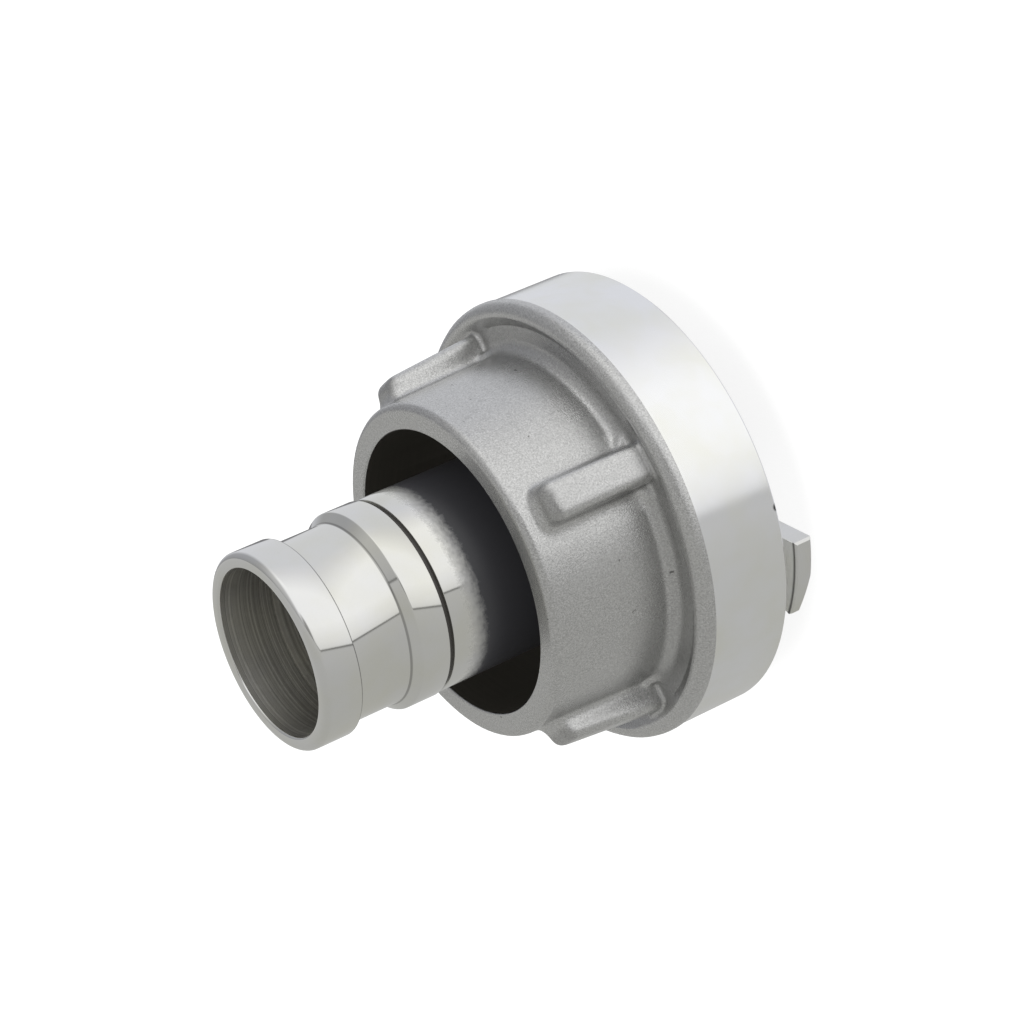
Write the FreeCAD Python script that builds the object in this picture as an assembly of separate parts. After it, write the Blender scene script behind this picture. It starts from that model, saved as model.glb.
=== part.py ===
import FreeCAD, Part
import math
import os

# Quarter-turn fire hose coupling: a cast and turned locking ring that spins on a hose tail.
# The axis is Z. The coupling stands on the tips of its two lugs at z = 0, hose tail upwards.
# Lengths are in millimetres and angles in degrees, counted from +X towards +Y.

# Hose tail, outwards from its bore: walls, heights and clearances
TAIL_BORE_RADIUS = 18.35
BINDING_WALL = 1.45
LIP_HEIGHT = 1.77
BARREL_WALL = 3.05
BAND_HEIGHT = 0.25
JOURNAL_WALL = 6.65
COLLAR_SHOULDER = 7.5
COLLAR_PROUD = 0.3
COLLAR_FLOOR = 5.6
COLLAR_EDGE = 0.4
RUNNING_CLEARANCE = 0.08

# Hose tail, backwards from the locking ring's neck
BARREL_SHOWING = 13.7
BAND_GROOVE_WIDTH = 1.2
BAND_GROOVE_DEPTH = 0.9
BAND_LENGTH = 6.7
SHOULDER_LENGTH = 1.7
BINDING_LENGTH = 12.8
LIP_LENGTH = 8.8
LIP_EDGE = 0.35
LIP_MOUTH_ROUND = 1.5
MOUTH_BORE_BEVEL = 0.5

# Lugs: a stem that stands in front of the ring and a head that hooks outwards
LUG_COUNT = 2
LUG_SETBACK = 0.5
LUG_STEM_WIDTH = 6.0
LUG_HOOK = 5.5
LUG_HEIGHT = 10.3
LUG_HEAD_THICKNESS = 4.4
LUG_HALF_ANGLE = 12.2
LUG_LEAD_DROP = 1.8
LUG_EDGE_BEVEL = 0.5

# Lug ways in the front of the ring, for the other half's lugs
WAY_CLEARANCE = 0.6
WAY_END_CLEARANCE = 5.7
WAY_ENTRY_ANGLE = 56.0
WAY_TURN = 90.0
WAY_ANGLE_CLEARANCE = 5.3
WAY_LIP_THICKNESS = 4.0
WAY_RAMP_RISE = 1.2

# Locking ring: machined rim, cast flange behind it, long neck around the hose tail
RIM_WALL = 3.9
RIM_EDGE_BEVEL = 0.5
CAST_STEP = 0.3
CAST_EDGE_LENGTH = 3.4
FLANGE_WALL = 6.4
FLANGE_BACK_ROUND = 2.7
FLANGE_LAND = 2.9
TROUGH_DEPTH = 1.7
TROUGH_SLOPE = 2.4
ROOT_ROUND = 3.1
WEB_LENGTH = 10.0
NECK_GAP = 10.1
NECK_WALL = 5.6
NECK_DRAFT = 0.95
NECK_STAND = 27.9
NECK_EDGE_ROUND = 1.8
NECK_BORE_BEVEL = 0.4

# Grip ribs along the neck, for the coupling spanner
RIB_COUNT = 4
RIB_FIRST_ANGLE = 50.3
RIB_WIDTH = 8.6
RIB_HEIGHT = 5.2
RIB_SETBACK = 4.3
RIB_END_SLOPE = 1.3
RIB_END_ROUND = 2.5
RIB_FLARE_SETBACK = 2.0
RIB_SUNK = 0.5
RIB_EDGE_ROUND = 1.9
RIB_FOOT_ROUND = 1.5
RIB_ROOT_ROUND = 2.6
ROUND_TURNS = (0.0, 30.0, 60.0, 90.0)

# Face seal in the front of the collar
SEAL_SEAT_DEPTH = 6.4
SEAL_SEAT_WALL = 2.3
SEAL_UNDERCUT = 1.8
SEAL_FLANGE_THICKNESS = 3.4
SEAL_STEP = 2.65
SEAL_PROUD = 1.2
SEAL_NOSE_BEVEL = 1.3
SEAL_LIP_ROOT = 2.4
SEAL_LIP_RELIEF = 2.2
SEAL_CLEARANCE = 0.08

# Retaining ring: an open ring in a groove behind the locking ring's web
RETAINER_THICKNESS = 2.2
RETAINER_SEATING = 1.2
RETAINER_HEIGHT = 2.2
RETAINER_SIDE_CLEARANCE = 0.1
RETAINER_GAP_ANGLE = 14.0
RETAINER_SHOULDER = 1.2
JOURNAL_TAPER_LENGTH = 3.6

# Radii that follow, from the bore outwards
BINDING_RADIUS = TAIL_BORE_RADIUS + BINDING_WALL
LIP_RADIUS = BINDING_RADIUS + LIP_HEIGHT
BARREL_RADIUS = TAIL_BORE_RADIUS + BARREL_WALL
BAND_RADIUS = BARREL_RADIUS + BAND_HEIGHT
JOURNAL_RADIUS = TAIL_BORE_RADIUS + JOURNAL_WALL
COLLAR_RADIUS = JOURNAL_RADIUS + COLLAR_SHOULDER
COLLAR_BORE_RADIUS = COLLAR_RADIUS + RUNNING_CLEARANCE
WEB_BORE_RADIUS = JOURNAL_RADIUS + RUNNING_CLEARANCE
SEAL_INNER_RADIUS = TAIL_BORE_RADIUS + SEAL_STEP
SEAL_FLANGE_RADIUS = COLLAR_RADIUS - SEAL_SEAT_WALL
SEAL_NECK_RADIUS = SEAL_FLANGE_RADIUS - SEAL_UNDERCUT
RETAINER_INNER_RADIUS = JOURNAL_RADIUS - RETAINER_SEATING
LUG_INNER_RADIUS = COLLAR_RADIUS + LUG_SETBACK
STEM_RADIUS = LUG_INNER_RADIUS + LUG_STEM_WIDTH
LUG_HEAD_RADIUS = STEM_RADIUS + LUG_HOOK
WAY_LIP_RADIUS = STEM_RADIUS + WAY_CLEARANCE
WAY_HEAD_RADIUS = LUG_HEAD_RADIUS + WAY_CLEARANCE
RIM_RADIUS = WAY_HEAD_RADIUS + RIM_WALL
SHELL_RADIUS = RIM_RADIUS + CAST_STEP
NECK_BORE_RADIUS = BARREL_RADIUS + NECK_GAP
NECK_RADIUS = NECK_BORE_RADIUS + NECK_WALL
NECK_ROOT_RADIUS = NECK_RADIUS + NECK_DRAFT
TROUGH_OUTER_RADIUS = SHELL_RADIUS - FLANGE_LAND
RIB_TOP_RADIUS = NECK_RADIUS + RIB_HEIGHT
NECK_SIDE_RADIUS = math.sqrt(NECK_RADIUS ** 2 - (RIB_WIDTH / 2 + RIB_FOOT_ROUND) ** 2)
RIB_FLARE_RADIUS = TROUGH_OUTER_RADIUS - RIB_FLARE_SETBACK

# Distances that follow, backwards from the ring's front face
FRONT_Z = LUG_HEIGHT
SEAL_SEAT = SEAL_SEAT_DEPTH - COLLAR_PROUD
WEB_FRONT = SEAL_SEAT_DEPTH + COLLAR_FLOOR
WEB_BACK = WEB_FRONT + WEB_LENGTH
WAY_DEPTH = LUG_HEIGHT + WAY_END_CLEARANCE
FLANGE_LENGTH = WAY_DEPTH + FLANGE_WALL
TROUGH_FLOOR = FLANGE_LENGTH - TROUGH_DEPTH
ROOT_END = TROUGH_FLOOR + ROOT_ROUND
RIM_LENGTH = FLANGE_LENGTH - CAST_EDGE_LENGTH
NECK_LENGTH = FLANGE_LENGTH + NECK_STAND
RIB_START = TROUGH_FLOOR - RIB_SUNK
RIB_END = NECK_LENGTH - RIB_SETBACK
RETAINER_GROOVE_START = WEB_BACK + RETAINER_SIDE_CLEARANCE
RETAINER_GROOVE_END = RETAINER_GROOVE_START + RETAINER_THICKNESS + RETAINER_SIDE_CLEARANCE
JOURNAL_END = RETAINER_GROOVE_END + RETAINER_SHOULDER
BAND_GROOVE_START = NECK_LENGTH + BARREL_SHOWING
BAND_GROOVE_END = BAND_GROOVE_START + BAND_GROOVE_WIDTH
BAND_END = BAND_GROOVE_END + BAND_LENGTH
BINDING_START = BAND_END + SHOULDER_LENGTH
LIP_START = BINDING_START + BINDING_LENGTH
TAIL_LENGTH = LIP_START + LIP_LENGTH
WAY_HALF_ANGLE = LUG_HALF_ANGLE + WAY_ANGLE_CLEARANCE

AXIS_POINT = FreeCAD.Vector(0, 0, 0)
AXIS = FreeCAD.Vector(0, 0, 1)
# Cutting bodies reach this far past the face that they cut
OVERCUT = 1.0
# Turned rounds are divided into this many short cones
ROUND_STEPS = 4
# Places closer than this are the same place
TOLERANCE = 1e-4


# Profile helpers: a profile is a list of (radius, distance behind the ring's front face)
def point(radius, behind):
    return FreeCAD.Vector(radius, 0, FRONT_Z + behind)


def profile_face(corners):
    points = [point(radius, behind) for radius, behind in corners]
    return Part.Face(Part.makePolygon(points + points[:1]))


def turned(corners, start=0.0, angle=360.0):
    solid = profile_face(corners).revolve(AXIS_POINT, AXIS, angle)
    solid.rotate(AXIS_POINT, AXIS, start)
    return solid


def is_circle_at(edge, radius, behind):
    curve = edge.Curve
    if not isinstance(curve, Part.Circle):
        return False
    off_axis = math.hypot(curve.Center.x, curve.Center.y)
    errors = [off_axis, curve.Center.z - FRONT_Z - behind, curve.Radius - radius]
    return all(abs(error) < TOLERANCE for error in errors)


def circles_at(shape, places):
    return [edge for edge in shape.Edges
            if any(is_circle_at(edge, radius, behind) for radius, behind in places)]


def rounded_corner(radius, behind, size):
    # Points along the round of a turned corner, from its outer side to its end face
    points = []
    for step in range(ROUND_STEPS + 1):
        turn = math.radians(90.0 * step / ROUND_STEPS)
        points.append((radius - size * (1 - math.cos(turn)), behind - size * (1 - math.sin(turn))))
    return points


def bevelled(shape, size, *places):
    return shape.makeChamfer(size, circles_at(shape, places))


def hollow_corner(radius, behind, size):
    # Points along the hollow round between an end face and the turned side that rises from it
    points = []
    for step in range(ROUND_STEPS + 1):
        turn = math.radians(90.0 * step / ROUND_STEPS)
        points.append((radius + size * (1 - math.sin(turn)), behind + size * (1 - math.cos(turn))))
    return points


def turned_copies(solid, count, first=0.0):
    copies = []
    for index in range(count):
        copy = solid.copy()
        copy.rotate(AXIS_POINT, AXIS, first + index * 360.0 / count)
        copies.append(copy)
    return copies


# Locking ring
def flange_blank():
    corners = [
        (0, 0),
        (RIM_RADIUS, 0),
        (RIM_RADIUS, RIM_LENGTH),
        (SHELL_RADIUS, RIM_LENGTH),
        *rounded_corner(SHELL_RADIUS, FLANGE_LENGTH, FLANGE_BACK_ROUND),
        (TROUGH_OUTER_RADIUS, FLANGE_LENGTH),
        (TROUGH_OUTER_RADIUS - TROUGH_SLOPE, TROUGH_FLOOR),
        *hollow_corner(NECK_ROOT_RADIUS, TROUGH_FLOOR, ROOT_ROUND),
        (0, ROOT_END),
    ]
    return bevelled(turned(corners), RIM_EDGE_BEVEL, (RIM_RADIUS, 0))


def neck_radius_at(behind):
    return NECK_RADIUS + NECK_DRAFT * (NECK_LENGTH - behind) / (NECK_LENGTH - ROOT_END)


def neck_blank():
    # The neck's cone starts inside the flange, as deep as the ribs
    corners = [
        (0, RIB_START),
        (neck_radius_at(RIB_START), RIB_START),
        *rounded_corner(NECK_RADIUS, NECK_LENGTH, NECK_EDGE_ROUND),
        (0, NECK_LENGTH),
    ]
    return turned(corners)


def grip_rib():
    # Side view with a steep blunt end and a top that rises towards the flange
    sunk = NECK_RADIUS - NECK_EDGE_ROUND
    side = profile_face([
        (sunk, RIB_START),
        (RIB_FLARE_RADIUS, RIB_START),
        (RIB_TOP_RADIUS, RIB_END - RIB_END_SLOPE),
        (NECK_RADIUS, RIB_END),
        (sunk, RIB_END),
    ])
    rib = side.extrude(FreeCAD.Vector(0, RIB_WIDTH, 0))
    rib.translate(FreeCAD.Vector(0, -RIB_WIDTH / 2, 0))
    crest = [edge for edge in rib.Edges if is_crest(edge)]
    rib = rib.makeFillet(RIB_END_ROUND, crest)
    outline = [edge for edge in rib.Edges if is_on_outline(edge)]
    return rib.makeFillet(RIB_EDGE_ROUND, outline)


def is_crest(edge):
    # The rib's highest corner at its blunt end
    middle = edge.CenterOfMass
    return abs(middle.x - RIB_TOP_RADIUS) < TOLERANCE and abs(middle.y) < TOLERANCE


def is_on_outline(edge):
    # Edges along the rib's two sides that stand clear of the neck
    middle = edge.CenterOfMass
    on_side = abs(abs(middle.y) - RIB_WIDTH / 2) < TOLERANCE
    return on_side and middle.x > NECK_RADIUS + TOLERANCE and middle.z > FRONT_Z + RIB_START + TOLERANCE


def rib_foot():
    # Stacked bevels that blend the rib into the neck, along both sides and around the blunt end
    levels = []
    for turn in ROUND_TURNS:
        reach = RIB_FOOT_ROUND * (1 - math.cos(math.radians(turn)))
        height = RIB_FOOT_ROUND * (1 - math.sin(math.radians(turn)))
        levels.append(rib_plan(reach, NECK_SIDE_RADIUS + height))
    levels.append(rib_plan(RIB_FOOT_ROUND, NECK_RADIUS - NECK_EDGE_ROUND))
    foot = Part.makeLoft(levels, True, True)
    lean = math.degrees(math.atan2(NECK_DRAFT, NECK_LENGTH - ROOT_END))
    foot.rotate(point(NECK_SIDE_RADIUS, NECK_LENGTH), FreeCAD.Vector(0, 1, 0), -lean)
    return foot


def rib_plan(reach, level):
    # The rib's plan, wider by the reach: free corners rounded, and a hollow round at the root
    half = RIB_WIDTH / 2 + reach
    end = RIB_END + reach
    corner = RIB_EDGE_ROUND + reach
    root = FLANGE_LENGTH + RIB_ROOT_ROUND
    side = []
    for turn in map(math.radians, ROUND_TURNS):
        hollow = RIB_ROOT_ROUND * (1 - math.sin(turn))
        side.append((half + hollow, root - RIB_ROOT_ROUND * math.cos(turn)))
    for turn in map(math.radians, ROUND_TURNS):
        side.append((half - corner * (1 - math.cos(turn)), end - corner * (1 - math.sin(turn))))
    side.insert(0, (half + RIB_ROOT_ROUND, RIB_START))
    opposite = [(-across, behind) for across, behind in reversed(side)]
    points = [FreeCAD.Vector(level, across, FRONT_Z + behind) for across, behind in side + opposite]
    return Part.makePolygon(points + points[:1])


def ribbed_neck():
    rib = grip_rib().fuse(rib_foot())
    return neck_blank().fuse(turned_copies(rib, RIB_COUNT, RIB_FIRST_ANGLE))


def lug():
    underside = LUG_HEAD_THICKNESS - LUG_HEIGHT
    corners = [
        (LUG_INNER_RADIUS, -LUG_HEIGHT),
        (LUG_HEAD_RADIUS, -LUG_HEIGHT),
        (LUG_HEAD_RADIUS, underside),
        (STEM_RADIUS, underside),
        (STEM_RADIUS, OVERCUT),
        (LUG_INNER_RADIUS, OVERCUT),
    ]
    solid = turned(corners, -LUG_HALF_ANGLE, 2 * LUG_HALF_ANGLE).cut(lug_lead())
    outer_edges = [edge for edge in solid.Edges if is_around_head(edge)]
    return solid.makeChamfer(LUG_EDGE_BEVEL, outer_edges)


def is_around_head(edge):
    reaches = [math.hypot(vertex.X, vertex.Y) for vertex in edge.Vertexes]
    return all(abs(reach - LUG_HEAD_RADIUS) < TOLERANCE for reach in reaches)


def lug_lead():
    # Wedge that lowers the head's leading half, so that it finds its way into the other ring
    run = LUG_HEAD_RADIUS * math.radians(LUG_HALF_ANGLE)
    slope = math.degrees(math.atan2(LUG_LEAD_DROP, run))
    wedge = Part.makeBox(LUG_HEAD_RADIUS, LUG_HEAD_RADIUS, LUG_HEIGHT)
    wedge.translate(FreeCAD.Vector(LUG_INNER_RADIUS - OVERCUT, -LUG_HEAD_RADIUS, -LUG_HEIGHT))
    wedge.rotate(AXIS_POINT, FreeCAD.Vector(1, 0, 0), -slope)
    return wedge


def lug_way():
    # One way: a slot for the stem along its whole turn, a pocket for the head behind the lip,
    # and a wide entry where the head goes in
    start = WAY_ENTRY_ANGLE - WAY_HALF_ANGLE
    whole = WAY_TURN + 2 * WAY_HALF_ANGLE
    entry = 2 * WAY_HALF_ANGLE
    slot = turned(way_section(WAY_LIP_RADIUS, -OVERCUT), start, whole)
    opening = turned(way_section(WAY_HEAD_RADIUS, -OVERCUT), start, entry)
    pocket = turned(way_section(WAY_HEAD_RADIUS, 0), start, whole).cut(lip_body())
    return slot.fuse([opening, pocket])


def way_section(outer_radius, front):
    return [
        (COLLAR_BORE_RADIUS - OVERCUT, front),
        (outer_radius, front),
        (outer_radius, WAY_DEPTH),
        (COLLAR_BORE_RADIUS - OVERCUT, WAY_DEPTH),
    ]


def lip_body():
    # Everything in front of a plane that leans by the ramp's rise over the turn: it draws the
    # two halves together as the other lug's head slides behind it
    middle_angle = WAY_ENTRY_ANGLE + WAY_HALF_ANGLE + WAY_TURN / 2
    run = 2 * WAY_HEAD_RADIUS * math.sin(math.radians(WAY_TURN / 2))
    lean = math.degrees(math.atan2(WAY_RAMP_RISE, run))
    reach = 2 * RIM_RADIUS
    body = Part.makeBox(2 * reach, 2 * reach, reach)
    body.translate(FreeCAD.Vector(-reach, -reach, -reach))
    body.rotate(AXIS_POINT, FreeCAD.Vector(1, 0, 0), lean)
    body.rotate(AXIS_POINT, AXIS, middle_angle)
    body.translate(FreeCAD.Vector(0, 0, FRONT_Z + WAY_LIP_THICKNESS))
    return body


def ring_bore():
    corners = [
        (0, -OVERCUT),
        (COLLAR_BORE_RADIUS, -OVERCUT),
        (COLLAR_BORE_RADIUS, WEB_FRONT),
        (WEB_BORE_RADIUS, WEB_FRONT),
        (WEB_BORE_RADIUS, WEB_BACK),
        (NECK_BORE_RADIUS, WEB_BACK),
        (NECK_BORE_RADIUS, NECK_LENGTH - NECK_BORE_BEVEL),
        (NECK_BORE_RADIUS + NECK_BORE_BEVEL, NECK_LENGTH),
        (NECK_BORE_RADIUS + NECK_BORE_BEVEL, NECK_LENGTH + OVERCUT),
        (0, NECK_LENGTH + OVERCUT),
    ]
    return turned(corners)


def locking_ring():
    body = flange_blank().fuse(ribbed_neck())
    body = body.cut([ring_bore()] + turned_copies(lug_way(), LUG_COUNT))
    return body.fuse(turned_copies(lug(), LUG_COUNT)).removeSplitter()


# Hose tail
def hose_tail():
    seat_front = SEAL_SEAT - SEAL_FLANGE_THICKNESS
    groove_floor = BAND_RADIUS - BAND_GROOVE_DEPTH
    corners = [
        (TAIL_BORE_RADIUS, SEAL_SEAT),
        (SEAL_FLANGE_RADIUS, SEAL_SEAT),
        (SEAL_FLANGE_RADIUS, seat_front),
        (SEAL_NECK_RADIUS, seat_front),
        (SEAL_NECK_RADIUS, -COLLAR_PROUD),
        (COLLAR_RADIUS, -COLLAR_PROUD),
        (COLLAR_RADIUS, WEB_FRONT),
        (JOURNAL_RADIUS, WEB_FRONT),
        (JOURNAL_RADIUS, RETAINER_GROOVE_START),
        (RETAINER_INNER_RADIUS, RETAINER_GROOVE_START),
        (RETAINER_INNER_RADIUS, RETAINER_GROOVE_END),
        (JOURNAL_RADIUS, RETAINER_GROOVE_END),
        (JOURNAL_RADIUS, JOURNAL_END),
        (BARREL_RADIUS, JOURNAL_END + JOURNAL_TAPER_LENGTH),
        (BARREL_RADIUS, BAND_GROOVE_START),
        (groove_floor, BAND_GROOVE_START),
        (groove_floor, BAND_GROOVE_END),
        (BAND_RADIUS, BAND_GROOVE_END),
        (BAND_RADIUS, BAND_END),
        (BINDING_RADIUS, BINDING_START),
        (BINDING_RADIUS, LIP_START),
        (LIP_RADIUS, LIP_START),
        *rounded_corner(LIP_RADIUS, TAIL_LENGTH, LIP_MOUTH_ROUND),
        (TAIL_BORE_RADIUS, TAIL_LENGTH),
    ]
    tail = turned(corners)
    tail = bevelled(tail, COLLAR_EDGE, (COLLAR_RADIUS, -COLLAR_PROUD), (COLLAR_RADIUS, WEB_FRONT))
    tail = bevelled(tail, MOUTH_BORE_BEVEL, (TAIL_BORE_RADIUS, TAIL_LENGTH))
    return bevelled(tail, LIP_EDGE, (LIP_RADIUS, LIP_START))


# Face seal
def face_seal():
    neck_radius = SEAL_NECK_RADIUS - SEAL_CLEARANCE
    flange_radius = SEAL_FLANGE_RADIUS - SEAL_CLEARANCE
    flange_front = SEAL_SEAT - SEAL_FLANGE_THICKNESS + SEAL_CLEARANCE
    nose = -COLLAR_PROUD - SEAL_PROUD
    relief = nose + SEAL_LIP_ROOT
    corners = [
        (SEAL_INNER_RADIUS, SEAL_SEAT),
        (flange_radius, SEAL_SEAT),
        (flange_radius, flange_front),
        (neck_radius, flange_front),
        (neck_radius, nose),
        (SEAL_INNER_RADIUS, nose),
        (SEAL_INNER_RADIUS, relief),
        (SEAL_INNER_RADIUS + SEAL_LIP_RELIEF, relief + SEAL_LIP_RELIEF / 2),
        (SEAL_INNER_RADIUS, relief + SEAL_LIP_RELIEF),
    ]
    return bevelled(turned(corners), SEAL_NOSE_BEVEL, (neck_radius, nose))


# Retaining ring: it lies behind the ring's web and keeps the ring on the tail
def retaining_ring():
    front = RETAINER_GROOVE_START + RETAINER_SIDE_CLEARANCE / 2
    corners = [
        (RETAINER_INNER_RADIUS, front),
        (RETAINER_INNER_RADIUS + RETAINER_HEIGHT, front),
        (RETAINER_INNER_RADIUS + RETAINER_HEIGHT, front + RETAINER_THICKNESS),
        (RETAINER_INNER_RADIUS, front + RETAINER_THICKNESS),
    ]
    return turned(corners, RETAINER_GAP_ANGLE / 2, 360.0 - RETAINER_GAP_ANGLE)


def main():
    os.makedirs("parts", exist_ok=True)
    pieces = {
        "locking_ring": locking_ring(),
        "hose_tail": hose_tail(),
        "face_seal": face_seal(),
        "retaining_ring": retaining_ring(),
    }
    for name, piece in pieces.items():
        solid = piece.Solids[0] if len(piece.Solids) == 1 else piece
        solid.exportStep(os.path.join("parts", name + ".step"))
        print(name, solid.ShapeType, solid.isValid(), round(solid.Volume, 1), solid.BoundBox)


main()
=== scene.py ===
import math

import bmesh
import bpy
from bpy.props import FloatProperty, FloatVectorProperty, PointerProperty
from mathutils import Matrix, Vector
from mathutils.kdtree import KDTree


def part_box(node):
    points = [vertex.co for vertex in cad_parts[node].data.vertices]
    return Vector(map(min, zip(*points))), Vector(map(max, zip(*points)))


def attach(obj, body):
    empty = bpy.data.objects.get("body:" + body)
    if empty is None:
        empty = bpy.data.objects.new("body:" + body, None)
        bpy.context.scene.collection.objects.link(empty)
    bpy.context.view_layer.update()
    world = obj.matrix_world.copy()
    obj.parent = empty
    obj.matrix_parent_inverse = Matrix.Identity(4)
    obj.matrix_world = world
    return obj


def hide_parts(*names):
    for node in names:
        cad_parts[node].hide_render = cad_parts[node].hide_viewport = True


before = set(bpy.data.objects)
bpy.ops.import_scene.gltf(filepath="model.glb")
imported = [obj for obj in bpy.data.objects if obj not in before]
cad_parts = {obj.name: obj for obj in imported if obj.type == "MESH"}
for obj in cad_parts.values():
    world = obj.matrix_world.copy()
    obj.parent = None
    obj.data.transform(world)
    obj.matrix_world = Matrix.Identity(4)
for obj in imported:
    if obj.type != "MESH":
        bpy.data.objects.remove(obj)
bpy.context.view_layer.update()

bl_info = {
    "name": "Quarter turn fire hose coupling",
    "version": (1, 0, 0),
    "blender": (4, 5, 0),
    "location": "3D View > Sidebar > Coupling",
    "description": "Hose coupling with a turned tail, a cast locking ring, a seal and a spring ring",
    "category": "Object",
}

MM = 0.001
TAIL_LOW, TAIL_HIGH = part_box("hose_tail")
SEAL_LOW, SEAL_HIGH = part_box("face_seal")

# Heights above the lug tips, in metres, backwards along the axis
LUG_UNDERSIDE = 4.4 * MM
RING_FRONT = 10.3 * MM
RIM_END = RING_FRONT + 19.0 * MM
COLLAR_FRONT = TAIL_LOW.z
SEAL_SEAT = RING_FRONT + 6.1 * MM
SEAL_SEAT_LIP = RING_FRONT + 2.7 * MM
COLLAR_BACK = RING_FRONT + 12.0 * MM
RETAINER_GROOVE = (RING_FRONT + 22.1 * MM, RING_FRONT + 24.4 * MM)
JOURNAL_END = RING_FRONT + 25.6 * MM
JOURNAL_TAPER_END = RING_FRONT + 29.2 * MM
BAND_GROOVE = (RING_FRONT + 64.0 * MM, RING_FRONT + 65.2 * MM)
BAND_END = RING_FRONT + 71.9 * MM
BINDING_START = RING_FRONT + 73.6 * MM
LIP_START = RING_FRONT + 86.4 * MM
TAIL_END = TAIL_HIGH.z

# Radii around the coupling's axis, in metres
LUG_HEAD_RADIUS = 44.5 * MM
COLLAR_RADIUS = TAIL_HIGH.x
JOURNAL_RADIUS = 25.0 * MM
RETAINER_GROOVE_RADIUS = 23.8 * MM
SEAT_RADIUS = 30.2 * MM
SEAT_MOUTH_RADIUS = 28.4 * MM
NECK_BORE_RADIUS = 31.5 * MM
RIM_RADIUS = 49.0 * MM
SHELL_RADIUS = 49.3 * MM

# Straight lines of the locking ring's turned profile, as (radius, height) of both ends
NECK_SIDE = ((38.05 * MM, RING_FRONT + 23.8 * MM), (37.1 * MM, RING_FRONT + 48.5 * MM))
TROUGH_SIDE = ((44.0 * MM, RING_FRONT + 20.7 * MM), (46.4 * MM, RING_FRONT + 22.4 * MM))
SHELL_SIDE = ((SHELL_RADIUS, RIM_END), (SHELL_RADIUS, RING_FRONT + 19.7 * MM))
RIM_SIDE = ((RIM_RADIUS, RING_FRONT), (RIM_RADIUS, RIM_END))
TURNED_SIDES = [NECK_SIDE, TROUGH_SIDE, SHELL_SIDE, RIM_SIDE]

# Its rounds: centre as (radius, height), size, and 1 for a round or -1 for a hollow
FLANGE_ROUND = (46.6 * MM, RING_FRONT + 19.7 * MM, 2.7 * MM, 1)
NECK_ROUND = (35.3 * MM, RING_FRONT + 48.5 * MM, 1.8 * MM, 1)
ROOT_HOLLOW = (41.15 * MM, RING_FRONT + 23.8 * MM, 3.1 * MM, -1)
TURNED_ROUNDS = [FLANGE_ROUND, NECK_ROUND, ROOT_HOLLOW]

# The cast ribs, the first at an angle in degrees, and the metal around them that runs into them
# softly
RIB_COUNT = 4
FIRST_RIB_ANGLE = 50.3
RIB_ANGLES = [math.radians(FIRST_RIB_ANGLE + 360 / RIB_COUNT * turn) for turn in range(RIB_COUNT)]
RIB_ZONE_HALF_WIDTH = 9.6 * MM
RIB_ZONE_HEIGHTS = (RING_FRONT + 19.5 * MM, RING_FRONT + 48.4 * MM)
RIB_ZONE_REACH = (34.5 * MM, 47.4 * MM)
RIB_ZONE_FADE = 1.5 * MM
CAST_CUT = 0.8 * MM
CAST_SOFTNESS = 1.3 * MM

# Rounds of the tail's lip and mouth, of the seal and of the spring ring
LIP_ROUND = 1.5 * MM
MOUTH_ROUND = 0.6 * MM
SEAL_MOUTH_ROUND = 0.4 * MM
SEAL_RELIEF_ROUND = 0.3 * MM
RETAINER_ROUND = 0.15 * MM

# The seal's clearance in its seat, and the relief that leaves it a lip inside
SEAL_CLEARANCE = 0.08 * MM
SEAL_LIP_LENGTH = 2.4 * MM
SEAL_RELIEF = 2.2 * MM

SPIN_STEPS = 192
SMOOTH_ANGLE = math.radians(32)
CRISP_ANGLE = math.radians(8.5)
MERGE_DISTANCE = 1e-7
COPY_MERGE_DISTANCE = 10 * MERGE_DISTANCE

# How far in metres a corner may lie from a place, a straight side or a round that it belongs to
SAME_PLACE = 2e-5
ON_PROFILE = 3.5e-5
ON_CHORD = 8e-5

# How far a direction may point past the end of a round, and how alike the directions of two
# normals of one surface are at least, as a cosine
BEYOND_ROUND = 0.01
SAME_SURFACE = 0.97

# The order in which the locking ring and the hose tail get their finishes
CAST, RIM, PAINTED_BORE_SHADE, LUG = range(4)
OUTSIDE, TAIL_BORE, GROOVE_BOTTOM, COLLAR = range(4)

# Marks that the photograph shows, all painted shade: dark on the barrel in the neck's mouth, a nick in
# the rim's edge, and shade in the tail's corners as height, reach and strength
BARREL_SHADE_HEIGHTS = (66.0 * MM, 70.8 * MM)
RIM_NICK_SHADE = (43.85 * MM, 21.9 * MM, RING_FRONT)
RIM_NICK_SHADE_REACH = 1.1 * MM
TAIL_CORNER_SHADE = [(LIP_START, 0.35 * MM, 0.6), (BINDING_START, 0.3 * MM, 0.45)]

# Painted shade on the casting: radii between which it sets in, heights between which it does, and its
# strength: in the trough, and on the slopes at the ribs' ends
CAST_SHADE = [
    ((46.6 * MM, 46.0 * MM), (RING_FRONT + 22.8 * MM, RING_FRONT + 22.0 * MM), 0.16),
    ((38.8 * MM, 40.2 * MM), (RING_FRONT + 42.4 * MM, RING_FRONT + 43.6 * MM), 0.22),
]

# Colours, and the tint of stains, that no setting changes; the first darkens pits and turning streaks
# and also paints shade, the next two are painted shade
DARK_MARKS_AND_SHADE = (0.03, 0.028, 0.026)
BARREL_SHADE = (0.042, 0.042, 0.047)
GROOVE_SHADE = (0.05, 0.045, 0.04)
SPRING_STEEL = (0.5, 0.51, 0.53)
STAIN_TINT = (0.97, 0.965, 0.90)
WHITE = (1, 1, 1, 1)

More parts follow.
